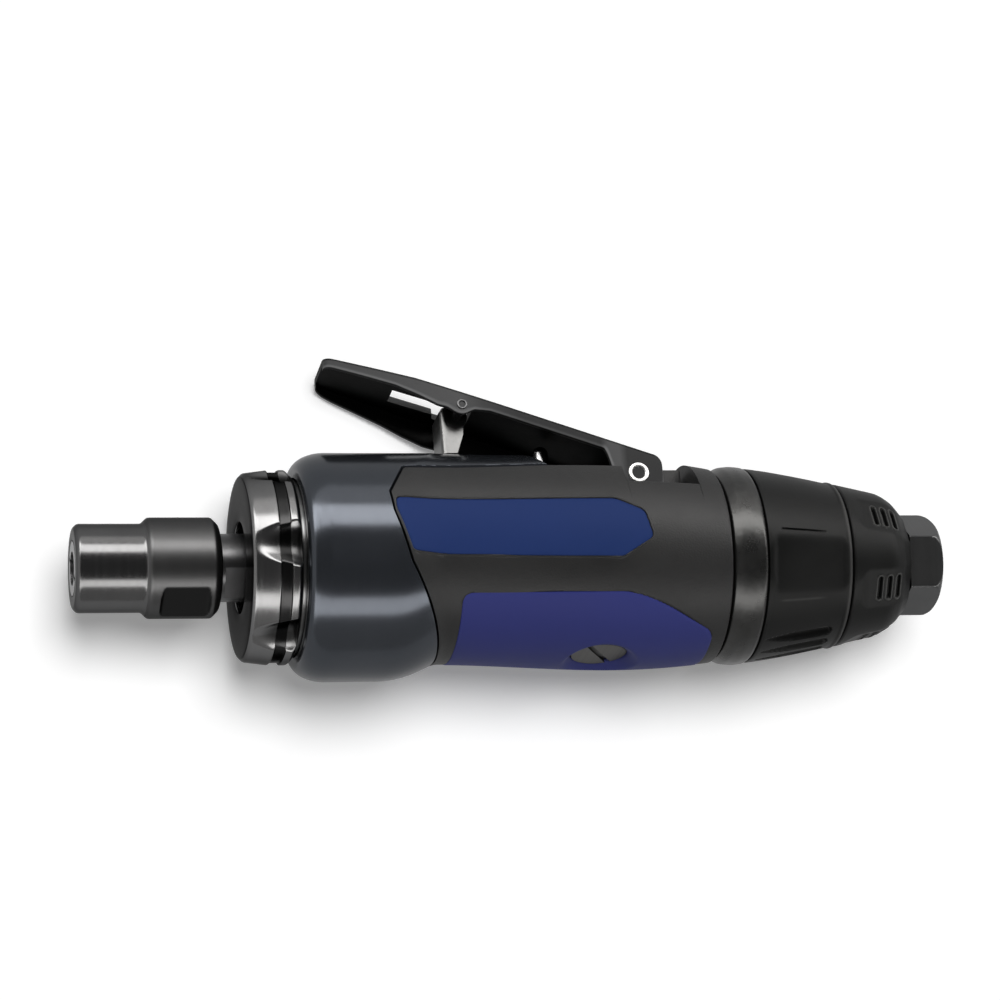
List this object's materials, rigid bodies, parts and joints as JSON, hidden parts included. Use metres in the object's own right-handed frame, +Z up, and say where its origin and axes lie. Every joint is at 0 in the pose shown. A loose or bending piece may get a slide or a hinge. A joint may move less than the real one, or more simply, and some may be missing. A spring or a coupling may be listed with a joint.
{
  "type": "die grinder",
  "caption": "Straight pneumatic die grinder: collet nose, round motor housing, textured grip with blue inlays, squeeze lever with safety tab, air regulator, rear exhaust and hexagon air inlet.",
  "frame": {"origin": "on the spindle axis at the mouth of the collet", "axes": "+X runs along the tool from the collet to the air inlet, +Z is up off the bench that the tool lies on, +Y is towards the side with the lever"},
  "size_m": [0.1673, 0.0607, 0.0431],
  "materials": {
    "nut_steel": "dark satin",
    "collet_steel": "satin",
    "spindle_steel": "ground",
    "vane_resin": "matt",
    "felt": "felt",
    "ring_black": "satin black",
    "bearing_steel": "polished",
    "plate_iron": "machined",
    "liner_steel": "honed",
    "pin_steel": "bright",
    "gasket_fibre": "matt",
    "housing_gunmetal": "satin gunmetal coat",
    "grip_black": "fine texture",
    "badge_blue": "bare satin",
    "pad_blue": "matt",
    "lever_black": "satin black",
    "tab_zinc": "bright zinc",
    "spring_steel": "bright wire",
    "bush_brass": "turned",
    "seal_rubber": "matt",
    "regulator_steel": "turned",
    "exhaust_black": "satin",
    "muffler_foam": "open felt",
    "inlet_steel": "black oxide",
    "washer_fibre": "matt"
  },
  "bodies": {
    "body": {"housing": "housing_gunmetal", "lock_ring": "ring_black", "spindle_seal": "felt", "front_bearing_outer": "bearing_steel", "front_end_plate": "plate_iron", "cylinder_liner": "liner_steel", "cylinder_pin": "pin_steel", "rear_end_plate": "plate_iron", "rear_bearing_outer": "bearing_steel", "rear_gasket": "gasket_fibre", "grip": "grip_black", "badge_near": "badge_blue", "badge_far": "badge_blue", "belly_pad": "pad_blue", "lever_pin": "pin_steel", "valve_bush": "bush_brass", "valve_seal": "seal_rubber", "valve_spring": "spring_steel", "regulator_pin": "pin_steel", "exhaust_ring": "exhaust_black", "exhaust_sleeve": "exhaust_black", "muffler": "muffler_foam", "deflector_seal": "seal_rubber", "inlet_bushing": "inlet_steel", "inlet_washer": "washer_fibre", "inlet_screen": "bush_brass"},
    "rotor": {"rotor_spindle": "spindle_steel", "rotor_vanes": "vane_resin", "collet": "collet_steel", "front_bearing_inner": "bearing_steel", "rear_bearing_inner": "bearing_steel"},
    "nut": {"collet_nut": "nut_steel"},
    "front_ball_set": {"front_bearing_balls": "bearing_steel"},
    "rear_ball_set": {"rear_bearing_balls": "bearing_steel"},
    "lever": {"throttle_lever": "lever_black", "safety_pin": "pin_steel", "safety_spring": "spring_steel"},
    "safety": {"safety_lever": "tab_zinc"},
    "valve": {"valve_stem": "pin_steel"},
    "air_regulator": {"regulator": "regulator_steel", "regulator_seal": "seal_rubber"},
    "deflector": {"exhaust_deflector": "exhaust_black"}
  },
  "joints": [
    {"name": "rotor_spin", "type": "hinge", "parent": "body", "child": "rotor", "pos_m": [0, 0, 0], "axis": [1, 0, 0], "continuous": true},
    {"name": "collet_nut_turn", "type": "hinge", "parent": "rotor", "child": "nut", "pos_m": [0, 0, 0], "axis": [1, 0, 0], "range_deg": [0, 360]},
    {"name": "front_ball_set_roll", "type": "hinge", "parent": "body", "child": "front_ball_set", "pos_m": [0.05, 0, 0], "axis": [1, 0, 0], "continuous": true},
    {"name": "rear_ball_set_roll", "type": "hinge", "parent": "body", "child": "rear_ball_set", "pos_m": [0.0815, 0, 0], "axis": [1, 0, 0], "continuous": true},
    {"name": "lever_press", "type": "hinge", "parent": "body", "child": "lever", "pos_m": [0.1079, 0.01455, -0.00589], "axis": [0, 0.3752, 0.9269], "range_deg": [0, 10], "stiffness_Nm_per_rad": 1.8, "springref_deg": -20.05},
    {"name": "safety_fold", "type": "hinge", "parent": "lever", "child": "safety", "pos_m": [0.0745, 0.02753, -0.01114], "axis": [0, -0.3752, -0.9269], "range_deg": [0, 80], "deforming": ["safety_spring"]},
    {"name": "valve_slide", "type": "slide", "parent": "body", "child": "valve", "axis": [0, -0.9269, 0.3752], "range_m": [0, 0.0035], "deforming": ["valve_spring"]},
    {"name": "regulator_turn", "type": "hinge", "parent": "body", "child": "air_regulator", "pos_m": [0.0989, -0.0165, 0.00668], "axis": [0, -0.9269, 0.3752], "range_deg": [0, 90]},
    {"name": "deflector_turn", "type": "hinge", "parent": "body", "child": "deflector", "pos_m": [0.15, 0, 0], "axis": [1, 0, 0], "continuous": true}
  ],
  "couplings": [
    {"joint": "front_ball_set_roll", "follows": "rotor_spin", "ratio": 0.4093},
    {"joint": "rear_ball_set_roll", "follows": "rotor_spin", "ratio": 0.36},
    {"joint": "safety_fold", "follows": "lever_press", "ratio": 8},
    {"joint": "valve_slide", "follows": "lever_press", "m_per_rad": 0.0195}
  ]
}
